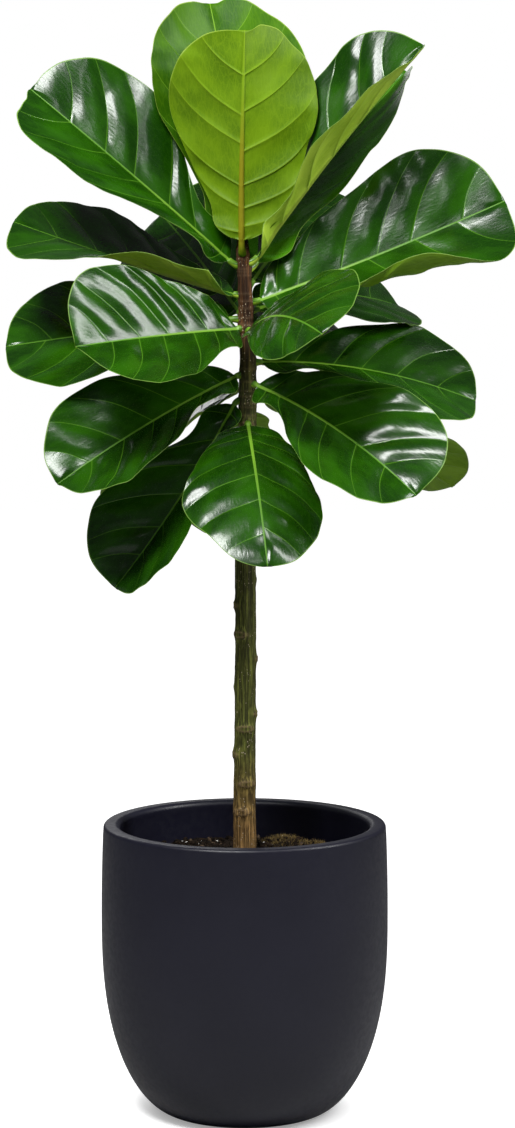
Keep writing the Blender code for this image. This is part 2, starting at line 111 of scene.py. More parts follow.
LEAVES = {
    "crown_leaf_front": Leaf(
        0.956, (-95, -60), (40, 84, 87), (0, 0), 0.225, (0.091, 0.08), 0.016, (5, 5, 18, 16),
        (0.002, 3.0, 0.0), waist=(-0.25, 0.0), curl=(5, 5, 10, 10), lobes=(0.04, 0.006)),
    "crown_leaf_back": Leaf(
        0.961, (100, 140), (40, 76, 74), (5, 12), 0.264, (0.098, 0.102), 0.018, (6, 6, 10, 8),
        (0.002, 3.0, 0.2), waist=(0.1, 0.0), curl=(5, 10, 0, 5), lobes=(0.014, 0.028)),
    "leaf_upper_left": Leaf(
        0.942, (184, 170), (25, 42, 39), (48, 48), 0.285, (0.086, 0.088), 0.012, (30, 22, 20, 22),
        (0.003, 3.0, 0.1), waist=(0.4, 0.4), lobes=(-0.02, 0.01)),
    "leaf_mid_left": Leaf(
        0.91, (174, 176), (5, 16, 20), (18, 18), 0.255, (0.09, 0.09), 0.006, (62, -16, 12, 10),
        (0.002, 2.5, 0.3)),
    "leaf_front_left": Leaf(
        0.873, (222, 218), (5, -2, -6), (50, 50), 0.22, (0.089, 0.086), 0.006, (24, 22, 18, 18),
        (0.003, 2.5, 0.6), waist=(0.1, -0.2)),
    "leaf_far_left": Leaf(
        0.883, (172, 176), (5, -5, -9), (50, 50), 0.25, (0.089, 0.086), 0.012, (17, 17, -6, -6),
        (0.004, 2.5, 0.0)),
    "leaf_low_left": Leaf(
        0.822, (200, 200), (-5, -24, -34), (44, 44), 0.233, (0.081, 0.075), 0.006, (36, 26, 19, 19),
        (0.003, 3.0, 0.4), waist=(0.3, 0.2), drawn=(0.0, 0.04)),
    "leaf_bottom_left": Leaf(
        0.794, (190, 188), (-15, -62, -51), (48, 48), 0.24, (0.088, 0.074), 0.008, (40, 36, 27, 27),
        (0.003, 3.0, 0.7), waist=(0.8, 0.2)),
    "leaf_bottom_front": Leaf(
        0.769, (-87, -78), (0, -14, -64), (0, 0), 0.226, (0.073, 0.082), 0.01, (-4, -10, 0, -10),
        (0.002, 2.0, 0.1), waist=(-0.3, -0.1), curl=(-10, -30, -10, -30), drawn=(0.06, 0.14)),
    "leaf_low_right": Leaf(
        0.812, (-42, -36), (-8, -16, -38), (-46, -43), 0.243, (0.084, 0.078), 0.006, (4, 4, 26, 26),
        (0.003, 3.0, 0.5), waist=(-0.1, 0.35)),
    "leaf_right": Leaf(
        0.836, (12, 10), (5, 1, -22), (-32, -34), 0.248, (0.088, 0.09), 0.008, (10, 9, 16, 9),
        (0.003, 3.0, 0.2), waist=(0.2, 0.5)),
    "leaf_front_right": Leaf(
        0.871, (-75, -62), (5, 19, -19), (-47, -45), 0.208, (0.08, 0.056), 0.006, (-4, -4, 5, 5),
        (0.002, 3.0, 0.8), curl=(0, 0, -20, -20)),
    "leaf_upper_mid_right": Leaf(
        0.902, (2, 2), (10, 20, 24), (-50, -50), 0.288, (0.092, 0.1), 0.01, (28, 26, 16, -10),
        (0.003, 2.5, 0.4), waist=(-0.1, 0.0), curl=(0, 0, 250, 45)),
    "leaf_upper_right": Leaf(
        0.945, (-10, 6), (25, 55, 48), (-23, -23), 0.29, (0.082, 0.082), 0.012, (32, 32, 52, 25),
        (0.003, 3.0, 0.6), waist=(0.4, 0.4)),
    "leaf_right_back": Leaf(
        0.938, (38, 22), (25, 50, 45), (-25, -25), 0.288, (0.08, 0.088), 0.014, (5, 5, 8, 40),
        (0.003, 3.0, 0.3)),
    "leaf_back_right": Leaf(
        0.892, (48, 46), (10, 14, -14), (-42, -38), 0.24, (0.08, 0.08), 0.014, (5, 5, 16, 16),
        (0.002, 3.0, 0.9)),
    "leaf_back_right_inner": Leaf(
        0.87, (64, 58), (20, 6, -14), (-30, -30), 0.225, (0.083, 0.083), 0.014, (5, 5, 10, 10),
        (0.003, 3.0, 0.55)),
    "leaf_back_low_right": Leaf(
        0.798, (18, 16), (0, -15, -35), (24, 24), 0.244, (0.08, 0.076), 0.012, (5, 5, 5, 5),
        (0.003, 3.0, 0.15)),
    "leaf_back": Leaf(
        0.918, (62, 62), (30, 34, 20), (-30, -30), 0.225, (0.08, 0.08), 0.014, (10, 5, 10, 5),
        (0.003, 3.0, 0.45)),
    "leaf_back_left": Leaf(
        0.885, (116, 112), (30, 30, 22), (50, 50), 0.25, (0.088, 0.08), 0.014, (5, 5, 5, 5),
        (0.003, 3.0, 0.65)),
    "leaf_back_low_left": Leaf(
        0.806, (132, 132), (0, -20, -40), (30, 30), 0.235, (0.08, 0.08), 0.012, (5, 5, 5, 5),
        (0.003, 3.0, 0.85)),
    "leaf_back_low": Leaf(
        0.785, (92, 96), (0, -30, -60), (0, 0), 0.225, (0.07, 0.07), 0.012, (5, 5, 5, 5),
        (0.003, 3.0, 0.05), curl=(-10, -10, -10, -10)),
}


def spline(x, xs, ys):
    """A smooth curve through the points (xs, ys), read at x."""
    slopes = np.gradient(ys, xs)
    i = np.clip(np.searchsorted(xs, x) - 1, 0, len(xs) - 2)
    h = xs[i + 1] - xs[i]
    f = (x - xs[i]) / h
    start = (1 + 2 * f) * (1 - f) ** 2 * ys[i] + f * (1 - f) ** 2 * h * slopes[i]
    end = f * f * (3 - 2 * f) * ys[i + 1] + f * f * (f - 1) * h * slopes[i + 1]
    return start + end


def mix(pair, f):
    """From pair[0] at f = 0 to pair[1] at f = 1."""
    return pair[0] + (pair[1] - pair[0]) * f


def smooth(x, low, high):
    """0 below low, 1 above high, with a soft step between."""
    f = np.clip((x - low) / (high - low), 0, 1)
    return f * f * (3 - 2 * f)


def cloud(x, y, seed):
    """Smooth random values from -1 to 1 over a plane, a new one each unit step."""
    size = 64
    grid = np.random.default_rng(seed).uniform(-1, 1, (size, size))
    x, y = np.broadcast_arrays(np.asarray(x, float), np.asarray(y, float))
    column = np.floor(x).astype(int)
    row = np.floor(y).astype(int)
    fx = smooth(x - column, 0, 1)
    fy = smooth(y - row, 0, 1)
    near, far = (grid[line % size, column % size] * (1 - fx)
                 + grid[line % size, (column + 1) % size] * fx for line in (row, row + 1))
    return near * (1 - fy) + far * fy


def leaf_axes(leaf, u):
    """Unit vectors along the leaf, out of its upper face and to its left, at u: -1 at the
    petiole's foot, 0 where the blade starts, 1 at its tip."""
    petiole = np.clip(u + 1, 0, 1)
    blade = np.clip(u, 0, None)
    ease = petiole * petiole * (3 - 2 * petiole)
    a = np.radians(mix(leaf.azimuth, blade))
    e = np.radians(np.where(u < 0, mix(leaf.pitch[:2], ease), mix(leaf.pitch[1:], blade)))
    r = np.radians(np.where(u < 0, leaf.roll[0] * ease, mix(leaf.roll, blade)))
    along = np.stack([np.cos(a) * np.cos(e), np.sin(a) * np.cos(e), np.sin(e)], -1)
    up = np.stack([-np.cos(a) * np.sin(e), -np.sin(a) * np.sin(e), np.cos(e)], -1)
    left = np.stack([-np.sin(a), np.cos(a), np.zeros_like(a)], -1)
    cos_roll, sin_roll = np.cos(r)[..., None], np.sin(r)[..., None]
    return along, up * cos_roll + left * sin_roll, left * cos_roll - up * sin_roll


def trunk_at(height):
    """Radius and centre x of the bare trunk at a height."""
    heights, radii, xs = zip(*TRUNK)
    return np.interp(height, heights, radii), np.interp(height, heights, xs)


def midrib(leaf, u):
    """Points of the midrib, and of the petiole before it."""
    petiole = np.linspace(-1, 0, PETIOLE_POINTS)[:-1]
    grid = np.concatenate([petiole, np.linspace(0, PAST_TIP, BLADE_POINTS)])
    middle = (grid[1:] + grid[:-1]) / 2
    along = leaf_axes(leaf, middle)[0]
    step = np.diff(grid) * np.where(middle < 0, leaf.petiole, leaf.length)
    radius, x = trunk_at(leaf.height)
    a = np.radians(leaf.azimuth[0])
    reach = radius + TRUNK_GAP
    root = np.array([x + reach * np.cos(a), reach * np.sin(a), leaf.height])
    points = np.concatenate([[root], root + np.cumsum(along * step[:, None], 0)])
    return np.stack([np.interp(u, grid, points[:, k]) for k in range(3)], -1)


# Where the side veins leave the midrib, how far they stray and how far a pair's two are apart.
OLD_VEINS = (0.05, 0.16, 0.30, 0.46, 0.63, 0.80)
YOUNG_VEINS = (0.05, 0.14, 0.27, 0.43, 0.61, 0.79)
VEIN_JITTER = 0.014
VEIN_STAGGER = 0.040
# Rows of the mesh: beside each side vein and at both ends, and the widest steps between rows at
# the midrib and at the margin.
VEIN_ROWS = (-0.011, -0.004, 0.0, 0.004, 0.011)
END_ROWS = (0.0, 0.008, 0.02, 0.965, 0.985, 1.0)
ROW_STEP = 0.017
MARGIN_STEP = 0.022
LEAST_ROW = 0.0012
# Columns of the mesh: over the midrib, in shares of its radius, across the blade, and at its rim.
# Where the blade is narrow, the midrib and the rim get narrower too.
RIB_COLUMNS = (0.35, 0.65, 0.88, 1.0, 1.3)
MID_COLUMNS = 21
RIM_COLUMNS = (1.4 * MM, 0.6 * MM, 0.2 * MM)
RIB_SHARE = 0.42
RIM_SPACE = 1.5 * MM
NARROW = 8 * MM
RIB_RADIUS = 3.3 * MM
RIB_TIP_RADIUS = 0.5 * MM
BLADE_THICKNESS = 0.9 * MM
RIM_ROUND = 0.5 * MM
# Relief: the blade bulges between its side veins, and the bulges are rippled and crumpled. It
# sways, its margin is frilled, and its veins are sunk in above and stand out below.
OLD_QUILT = 2.6 * MM
YOUNG_QUILT = 1.4 * MM
RIPPLE = 0.45
CRUMPLE = 0.35 * MM
CRUMPLE_SIZE = 13 * MM
SWAY = 1.2 * MM
SWAY_SIZE = (40 * MM, 34 * MM)
FRILL = 1.4 * MM
FRILL_SIZE = 13 * MM
GROOVE = 0.25 * MM
VEIN_WIDTH = 1.1 * MM
VEIN_TAPER = 0.6
RAISED_VEIN = 1.1 * MM
# Half widths of the side veins' lines in the material.
LINE_ABOVE = 0.34 * MM
LINE_BELOW = 0.55 * MM
# Stands for the distance to a vein or margin that isn't there.
NONE_NEAR = 9.0
# Sets the patterns of two leaves apart.
PATTERN_STEP = 37.0
PETIOLE_STEPS = 12
PETIOLE_FOOT = 4.6 * MM
PETIOLE_BURIED = 2.0 * MM


def side_veins(rng, base):
    """Where the side veins leave the midrib, for the left and the right half."""
    base = np.array(base)
    both = base + rng.uniform(-VEIN_JITTER, VEIN_JITTER, len(base))
    stagger = rng.uniform(-VEIN_STAGGER, VEIN_STAGGER, len(base))
    return np.sort(both + stagger / 2), np.sort(both - stagger / 2)


def leaf_rows(veins):
    """Shares along the midrib for the mesh's rows: close together at the side veins."""
    wanted = set(END_ROWS)
    for side in veins:
        limits = [0.0, *side, 1.0]
        wanted.update((a + b) / 2 for a, b in zip(limits, limits[1:]))
        wanted.update(s + d for s in side for d in VEIN_ROWS)
    rows = [0.0]
    vital = set(np.concatenate(veins)) | {1.0}
    share, along, _ = MARGIN.T
    for s in sorted(wanted):
        last = rows[-1]
        if s - last >= LEAST_ROW or (s in vital and s > last):
            at_margin = np.interp(s, share, along) - np.interp(last, share, along)
            extra = int(max((s - last) / ROW_STEP, at_margin / MARGIN_STEP))
            rows += list(np.linspace(last, s, extra + 2)[1:-1])
            rows.append(s)
    return np.array(rows)


def of_side(pair, left):
    """The first of the pair on the left half and the second on the right."""
    return np.where(left, pair[0], pair[1])


def narrowing(leaf, u, left):
    """The share of the half width that the waist takes away."""
    return of_side(leaf.waist, left) * np.exp(-((u - WAIST_AT) / WAIST_SPAN) ** 2)


def outline(leaf, s, left):
    """For each side vein: where it meets the margin, how far out that is as a share of the half
    width, the half width, and how far out it is in metres."""
    share, along, out = MARGIN.T
    u = spline(s, share, along)
    back = np.clip(u / DRAWN_FROM, 0, 1) ** 3 * smooth(s, 1.0, DRAWN_FADE)
    lobe = smooth(s, *LOBE_RISE) * smooth(s, 1.0, LOBE_FALL)
    u = u - of_side(leaf.drawn, left) * back
    u = u + of_side(leaf.lobes, left) * lobe
    v = spline(s, share, out)
    half = of_side(leaf.halves, left)
    return u, v, half, v * half * (1 - narrowing(leaf, u, left))


def columns(reach, rib):
    """Distances from the midrib of one row's points on one side, from the midrib to the margin."""
    rib = np.minimum(rib, RIB_SHARE * (reach - RIM_SPACE))
    inner = rib * np.array(RIB_COLUMNS)
    rims = reach - np.array(RIM_COLUMNS) * min(1.0, reach / NARROW)
    start = inner[-1]
    spread = start + (rims[0] - start) * np.linspace(0, 1, MID_COLUMNS + 2)[1:-1]
    return np.concatenate([[0.0], inner, spread, rims, [reach]])


def rib_radius(s):
    """Radius of the midrib below the blade."""
    return RIB_TIP_RADIUS + (RIB_RADIUS - RIB_TIP_RADIUS) * np.clip(1 - s, 0, 1) ** 0.8


def section(y, share, fold, curl):
    """Where a point y along the blade's cross-section lies, out and up, and the slope there."""
    out = np.zeros_like(y)
    up = np.zeros_like(y)
    for place, weight in zip(*np.polynomial.legendre.leggauss(SECTION_STEPS)):
        slope = np.radians(fold + curl * (share * (place + 1) / 2) ** CURL_BEND)
        out = out + y * np.cos(slope) * weight / 2
        up = up + y * np.sin(slope) * weight / 2
    return out, up, np.radians(fold + curl * share ** CURL_BEND)


def blade_surface(leaf, s, t):
    """Points and normals of the blade without its relief, and flat coordinates along and across.

    t: how far along its side vein a point lies, from 1 at the left margin to -1 at the right.
    """
    left = t > 0
    side = np.abs(t)
    margin_u, v, half, _ = outline(leaf, s, left)
    u = s + (margin_u - s) * (VEIN_SLANT * side + (1 - VEIN_SLANT) * side ** VEIN_BEND)
    y = v * (1 - narrowing(leaf, u, left)) * side * half
    f = np.clip(u, 0, 1)
    opening = np.clip(u / OPENING, 0, 1)
    fold = of_side((mix(leaf.fold[:2], f), mix(leaf.fold[2:], f)), left) * opening
    curl = of_side((mix(leaf.curl[:2], f), mix(leaf.curl[2:], f)), left) * opening
    across, rise, slope = section(y, y / half, fold, curl)
    across = across * np.sign(t)
    height, count, phase = leaf.wave
    turns = count * u + phase + np.where(left, 0.0, RIGHT_PHASE)
    rise = rise + height * side ** 2 * np.sin(2 * np.pi * turns) * np.clip(4 * f * (1.1 - f), 0, 1)
    _, up, to_left = leaf_axes(leaf, u)
    points = midrib(leaf, u) + to_left * across[..., None] + up * rise[..., None]
    lean = np.sin(slope) * np.sign(t)
    normals = up * np.cos(slope)[..., None] - to_left * lean[..., None]
    return points, normals, u * leaf.length, y * np.sign(t)


def vein_field(leaf, veins, s, t, along, across):
    """Each point's distance from the nearest side vein, measured square to it, its share of the
    way from one side vein to the next, and the number of the panel between them."""
    step = 1e-4
    _, _, along_s, across_s = blade_surface(leaf, s + step, t)
    _, _, along_t, across_t = blade_surface(leaf, s, t * (1 - step) + 1e-9)
    ds = np.stack([along_s - along, across_s - across], -1) / step
    dt = np.stack([along_t - along, across_t - across], -1)
    size = np.maximum(np.linalg.norm(dt, axis=-1), 1e-12)
    spacing = np.abs(ds[..., 0] * dt[..., 1] - ds[..., 1] * dt[..., 0]) / size
    spacing = np.where(np.abs(t) < 0.02, leaf.length, spacing)
    nearest, share, panel = np.zeros((3, *t.shape))
    for found, here in zip(veins, (t > 0, t <= 0)):
        limits = np.concatenate([[-found[0]], found, [1.15]])
        k = np.clip(np.searchsorted(limits, s, side="right") - 1, 0, len(limits) - 2)
        low, high = limits[k], limits[k + 1]
        below = np.where(k == 0, NONE_NEAR, s - low)
        above = np.where(k == len(limits) - 2, NONE_NEAR, high - s)
        nearest = np.where(here, np.minimum(below, above), nearest)
        share = np.where(here, (s - low) / (high - low), share)
        panel = np.where(here, k, panel)
    return nearest * spacing, share, panel


def blade_relief(s, t, share, panel, along, across, seed, quilt):
    """How far each point stands out from the smooth blade."""
    side = np.abs(t)
    half = np.sign(t)
    bulge = 0.5 - 0.5 * np.cos(2 * np.pi * share)
    ripple = 0.5 - 0.5 * np.cos(4 * np.pi * share)
    swell = smooth(side, 0.0, 0.3) * (1 - 0.75 * side ** 3)
    lively = 1 + 0.5 * cloud(panel * 1.7 + 3, half * 2 + side * 1.5 + 9, seed)
    split = 0.5 + 0.5 * cloud(panel * 2.3 + 5, half * 3 + side * 2.0 + 4, seed + 5)
    relief = quilt * (bulge - 0.5 + RIPPLE * split * ripple) * swell * lively
    crumple = cloud(share * 1.5 + panel * 3, across / CRUMPLE_SIZE, seed + 1)
    relief = relief + CRUMPLE * crumple * bulge * smooth(side, 0.03, 0.2)
    relief = relief + SWAY * cloud(along / SWAY_SIZE[0], across / SWAY_SIZE[1], seed + 2) * side
    frill = cloud(along / FRILL_SIZE + 5 * half, side * 1.5, seed + 3)
    return relief + FRILL * frill * smooth(side, 0.45, 0.95) * smooth(s, 0.8, 0.6)


def ring_of(over, under):
    """One ring of points or values: over the leaf from left to right, and back below it."""
    return np.concatenate([over, under[1:-1][::-1]])


def petiole_rings(leaf, t, mark):
    """Round rings from inside the trunk to the blade's base, and their two patterns."""
    rings, flats, lines = [], [], []
    angle = t * np.pi / 2
    turn = ring_of(angle, -angle)
    for k in range(PETIOLE_STEPS):
        share = k / PETIOLE_STEPS
        u = -1.0 + share
        centre = midrib(leaf, np.array(u))
        forward, up, to_left = leaf_axes(leaf, np.array(u))
        if k == 0:
            centre = centre - forward * PETIOLE_BURIED
        radius = RIB_RADIUS + (PETIOLE_FOOT - RIB_RADIUS) * (1 - share) ** 2
        out = np.sin(angle)[:, None] * to_left
        rise = np.cos(angle)[:, None] * up
        rings.append(ring_of(centre + radius * (out + rise), centre + radius * (out - rise)))
        flat = np.full((len(turn), 3), (u * leaf.petiole / MM, 0.0, mark))
        flat[:, 1] = turn * radius / MM
        flats.append(flat)
        lines.append(np.full((len(turn), 3), (NONE_NEAR, 1.15 - 0.35 * share, NONE_NEAR)))
    return rings, flats, lines


def leaf_mesh(leaf, seed, young):
    """Vertices, faces, face kinds (0 upper, 1 under) and vertex patterns of one fine leaf.

    The pattern "blade" is a place in mm along and across the flat blade. "lines" is the distance
    to the nearest side vein and to the midrib, 1 at their edges, and to the margin in mm.
    """
    veins = side_veins(np.random.default_rng(seed), YOUNG_VEINS if young else OLD_VEINS)
    rows = leaf_rows(veins)
    halves = []
    for left in (True, False):
        reach = outline(leaf, rows, np.full(len(rows), left))[3]
        halves.append(np.array([columns(r, rib) for r, rib in zip(reach, rib_radius(rows))])
                      / reach[:, None])
    t = np.concatenate([halves[0][:, :0:-1], -halves[1]], 1)
    t[:, halves[0].shape[1] - 1] = 0.0
    s = np.broadcast_to(rows[:, None], t.shape)
    points, normals, along, across = blade_surface(leaf, s, t)
    to_vein, share, panel = vein_field(leaf, veins, s, t, along, across)

    side = np.abs(t)
    taper = 1 - VEIN_TAPER * side
    vein = np.exp(-(to_vein / VEIN_WIDTH) ** 2) * taper
    quilt = YOUNG_QUILT if young else OLD_QUILT
    relief = blade_relief(s, t, share, panel, along, across, seed, quilt)
    end_fade = np.clip((1 - s) / 0.03, 0, 1) * np.clip(s / 0.02, 0, 1)
    top = points + normals * ((relief - GROOVE * vein) * end_fade)[..., None]
    to_rib = np.abs(across)
    rib = rib_radius(s)
    round_rib = np.sqrt(np.clip(1 - (to_rib / rib) ** 2, 0, 1)) * rib
    edge = np.clip(1 - side, 0, 1)
    rim = np.clip(edge * leaf.halves[0] / RIM_ROUND, 0, 1) ** 0.5
    thin = BLADE_THICKNESS * (1 - 0.4 * side) * rim
    raised = RAISED_VEIN * vein * smooth(edge, 0.02, 0.2)
    under = top - normals * (thin + np.maximum(round_rib, raised))[..., None]

    mark = seed * PATTERN_STEP
    to_margin = edge * outline(leaf, s, t > 0)[3] / MM
    flat = np.stack([s * leaf.length / MM, across / MM, np.full(t.shape, mark)], -1)
    rib_line = 0.45 * rib + 0.35 * MM
    above = np.stack([to_vein / (LINE_ABOVE * taper), to_rib / rib_line, to_margin], -1)
    below = np.stack([to_vein / (LINE_BELOW * taper), to_rib / rib, to_margin], -1)
    rings, flats, lines = petiole_rings(leaf, t[0], mark)
    for i in range(len(rows)):
        rings.append(ring_of(top[i], under[i]))
        flats.append(ring_of(flat[i], flat[i]))
        lines.append(ring_of(above[i], below[i]))

    half = t.shape[1] - 1
    around = 2 * half
    faces = turned_over(ring_faces(len(rings), around))
    faces.append(tuple(range(around)))
    last = (len(rings) - 1) * around
    faces.append(tuple(reversed(range(last, last + around))))
    kinds = ([0] * half + [1] * half) * (len(rings) - 1) + [1, 1]
    return np.concatenate(rings), faces, kinds, {"blade": np.concatenate(flats),
                                                 "lines": np.concatenate(lines)}


def ring_faces(rings, sides, first=0):
    """Quads between rings of vertices that follow each other from the vertex numbered first."""
    faces = []
    for i in range(rings - 1):
        m = first + i * sides
        for j in range(sides):
            k = (j + 1) % sides
            faces.append((m + j, m + k, m + sides + k, m + sides + j))
    return faces


def skin_faces(rings, sides):
    """Faces of a closed skin: its first vertex, rings of vertices, and its last vertex."""
    around = [(j, (j + 1) % sides) for j in range(sides)]
    m = 1 + (rings - 1) * sides
    return ([(0, 1 + k, 1 + j) for j, k in around] + ring_faces(rings, sides, 1)
            + [(m + j, m + k, m + sides) for j, k in around])


def turned_over(faces):
    """The same faces, looking the other way."""
    return [face[:1] + face[:0:-1] for face in faces]


def add_object(name, data):
    item = bpy.data.objects.new(name, data)
    bpy.context.scene.collection.objects.link(item)
    return item


def add_mesh(name, verts, faces, materials, kinds=None, patterns=None):
    """An object of these faces. kinds: each face's material. patterns: vectors at its vertices."""
    mesh = bpy.data.meshes.new(name)
    mesh.from_pydata(np.asarray(verts).tolist(), [], faces)
    for material in materials:
        mesh.materials.append(material)
    if kinds is not None:
        mesh.polygons.foreach_set("material_index", kinds)
    for key, values in (patterns or {}).items():
        layer = mesh.attributes.new(key, "FLOAT_VECTOR", "POINT")
        layer.data.foreach_set("vector", np.asarray(values, float).ravel())
    mesh.shade_smooth()
    mesh.validate()
    return add_object(name, mesh)


# ---- materials ----

class Paint:
    """A Principled material and short ways to feed it."""

    def __init__(self, name):
        self.material = bpy.data.materials.new(name)
        self.material.use_nodes = True
        self.tree = self.material.node_tree
        self.shader = self.tree.nodes["Principled BSDF"]

    def set(self, socket, value):
        """Feeds one of the shader's sockets."""
        self.feed(self.shader.inputs[socket], value)

    def feed(self, socket, value):
        """Links an output to a socket, or sets a constant there."""
        if isinstance(value, bpy.types.NodeSocket):
            self.tree.links.new(value, socket)
        elif value is not None:
            if isinstance(value, tuple) and len(value) == 3 and socket.type == "RGBA":
                value = (*value, 1.0)
            socket.default_value = value

    def node(self, kind, inputs=(), output=0, **settings):
        """Adds a node, feeds its inputs and returns one of its outputs."""
        made = self.tree.nodes.new("ShaderNode" + kind)
        for key, value in settings.items():
            setattr(made, key, value)
        for key, value in dict(inputs).items():
            self.feed(made.inputs[key], value)
        return made.outputs[output]

    def math(self, operation, a, b=None):
        return self.node("Math", {0: a, 1: b}, operation=operation)

    def times(self, a, b):
        return self.math("MULTIPLY", a, b)

    def plus(self, a, b):
        return self.math("ADD", a, b)

    def stretch(self, vector, scales):
        return self.node("VectorMath", {0: vector, 1: scales}, operation="MULTIPLY")

    def parts(self, vector):
        made = self.tree.nodes.new("ShaderNodeSeparateXYZ")
        self.feed(made.inputs[0], vector)
        return made.outputs[0], made.outputs[1], made.outputs[2]

    def attribute(self, name):
        return self.node("Attribute", output="Vector", attribute_name=name)

    def place(self):
        return self.node("TexCoord", output="Object")

    def step(self, value, low, high, start=0.0, end=1.0):
        return self.node("MapRange", {0: value, 1: low, 2: high, 3: start, 4: end},
                         interpolation_type="SMOOTHSTEP")

    def fade(self, value, low, high):
        """1 below low and 0 above high."""
        return self.step(value, low, high, 1.0, 0.0)

    def mix(self, factor, a, b, blend="MIX"):
        return self.node("Mix", {0: factor, 6: a, 7: b}, 2, data_type="RGBA", blend_type=blend)

    def noise(self, vector, scale, detail=3.0, roughness=0.55):
        return self.node("TexNoise", {"Vector": vector, "Scale": scale, "Detail": detail,
                                      "Roughness": roughness})

    def coats(self, colour, *coats):
        """Lays coats over a colour: (where, coat) for each, the last one on top."""
        for where, coat in coats:
            colour = self.mix(where, colour, coat)
        return colour

    def cracks(self, vector, randomness):
        """Distance from the borders of irregular cells."""
        return self.node("TexVoronoi", {"Vector": vector, "Scale": 1.0, "Randomness": randomness},
                         "Distance", feature="DISTANCE_TO_EDGE")

    def finish(self, colour, roughness, relief, strength, depth):
        """Sets the colour, the roughness and the bump, and returns the material."""
        self.set("Base Color", colour)
        self.set("Roughness", roughness)
        self.set("Normal", self.node("Bump", {"Height": relief, "Strength": strength,
                                              "Distance": depth}))
        return self.material


# Each face of a leaf: its dark and light patches, small veins (rung), side veins, midrib, margin,
# finish, how strongly rungs and a finer net show, and 1 where these are sunk in, else -1.
Look = namedtuple("Look", "dark light rung vein rib edge roughness gloss rungs net relief")
LEAF_LOOKS = {
    "old leaf upper face": Look(
        (0.005, 0.036, 0.0004), (0.017, 0.092, 0.0008), (0.032, 0.130, 0.004), (0.090, 0.25, 0.015),
        (0.17, 0.36, 0.025), (0.18, 0.34, 0.05), 0.20, 0.45, 0.12, 0.06, 1),
    # Painted light: a lighter copy of the old upper face, for a leaf whose upper face lies in
    # shade.
    "painted-lit leaf upper face": Look(
        (0.024, 0.115, 0.001), (0.062, 0.240, 0.003), (0.08, 0.28, 0.01), (0.11, 0.30, 0.02),
        (0.18, 0.35, 0.03), (0.20, 0.36, 0.05), 0.28, 0.45, 0.14, 0.08, 1),
    # The underside's own lighter olive colour, brightened further with a painted glow, as of light
    # shining through the blade.
    "old leaf underside": Look(
        (0.120, 0.250, 0.005), (0.200, 0.370, 0.014), (0.23, 0.42, 0.02), (0.20, 0.34, 0.03),
        (0.24, 0.34, 0.03), (0.20, 0.32, 0.07), 0.50, 0.30, 0.30, 0.20, -1),
    "young leaf upper face": Look(
        (0.026, 0.105, 0.001), (0.062, 0.180, 0.002), (0.11, 0.26, 0.006), (0.17, 0.36, 0.02),
        (0.25, 0.38, 0.02), (0.28, 0.42, 0.06), 0.38, 0.16, 0.20, 0.10, 1),
    "young leaf underside": Look(
        (0.086, 0.185, 0.001), (0.145, 0.275, 0.002), (0.19, 0.33, 0.006), (0.20, 0.34, 0.010),
        (0.26, 0.24, 0.010), (0.26, 0.40, 0.04), 0.48, 0.22, 0.30, 0.20, -1),
    # A lighter underside with a strong painted glow, as of light shining through the blade from
    # behind.
    "pale-glow-painted leaf underside": Look(
        (0.340, 0.540, 0.030), (0.520, 0.720, 0.070), (0.58, 0.78, 0.08), (0.30, 0.46, 0.05),
        (0.34, 0.46, 0.05), (0.26, 0.42, 0.07), 0.50, 0.30, 0.35, 0.20, -1),
}


# Scales along and across the blade, per mm, of its small veins and of streaks in its gloss.
RUNG_SCALE = (1 / 14, 1 / 5.0, 1.0)
NET_SCALE = (1 / 3.0, 1 / 2.2, 1.0)
STREAK_SCALE = (1 / 20, 1 / 9.0, 1.0)
# How far along the blade, in mm, the midrib takes the side veins' colour.
RIB_CHANGE = (70.0, 170.0)


def leaf_material(name, look):
    paint = Paint(name)
    blade = paint.attribute("blade")
    to_vein, to_rib, to_edge = paint.parts(paint.attribute("lines"))
    rungs = paint.cracks(paint.stretch(blade, RUNG_SCALE), 0.9)
    net = paint.cracks(paint.stretch(blade, NET_SCALE), 1.0)
    rib = paint.fade(to_rib, 0.75, 1.25)
    edge = paint.fade(to_edge, 0.25, 0.9)
    along, _, _ = paint.parts(blade)
    rib_colour = paint.mix(paint.step(along, *RIB_CHANGE), look.rib, look.vein)
    colour = paint.coats(
        look.dark,
        (paint.step(paint.noise(blade, 0.022), 0.35, 0.68), look.light),
        (paint.times(paint.fade(rungs, 0.0, 0.10), look.rungs), look.rung),
        (paint.times(paint.fade(net, 0.0, 0.16), look.net), look.rung),
        (paint.times(paint.fade(to_vein, 0.0, 7.0), 0.12), look.vein),
        (paint.fade(to_vein, 0.4, 1.5), look.vein),
        (edge, look.edge),
        (rib, rib_colour))
    base = look.roughness
    rough = paint.step(paint.noise(blade, 0.9, 2.0), 0.3, 0.7, base - 0.04, base + 0.08)
    rough = paint.mix(paint.math("MAXIMUM", rib, edge), rough, (0.45, 0.45, 0.45))
    paint.set("IOR", 1.45)
    paint.set("Specular IOR Level", look.gloss)
    small = paint.times(paint.step(net, 0.0, 0.30), 0.05)
    pillows = paint.plus(paint.step(rungs, 0.0, 0.28), small)
    streaks = paint.noise(paint.stretch(blade, STREAK_SCALE), 1.0, 1.5)
    relief = paint.plus(paint.times(pillows, look.relief), paint.times(streaks, 2.0))
    return paint.finish(colour, rough, relief, 0.09, 0.4 * MM)


# The leaves with other looks than the old ones, as (upper face, underside): the young crown leaves,
# and leaves with painted light, namely a lighter upper face where it lies in shade and undersides
# with a painted glow of light through the blade.
YOUNG_AND_PAINTED_LIT_LEAVES = {
    "crown_leaf_front": ("young", "young"), "crown_leaf_back": ("young", "young"),
    "leaf_upper_right": ("old", "pale-glow-painted"), "leaf_mid_left": ("old", "pale-glow-painted"),
    "leaf_right_back": ("painted-lit", "pale-glow-painted"),
}


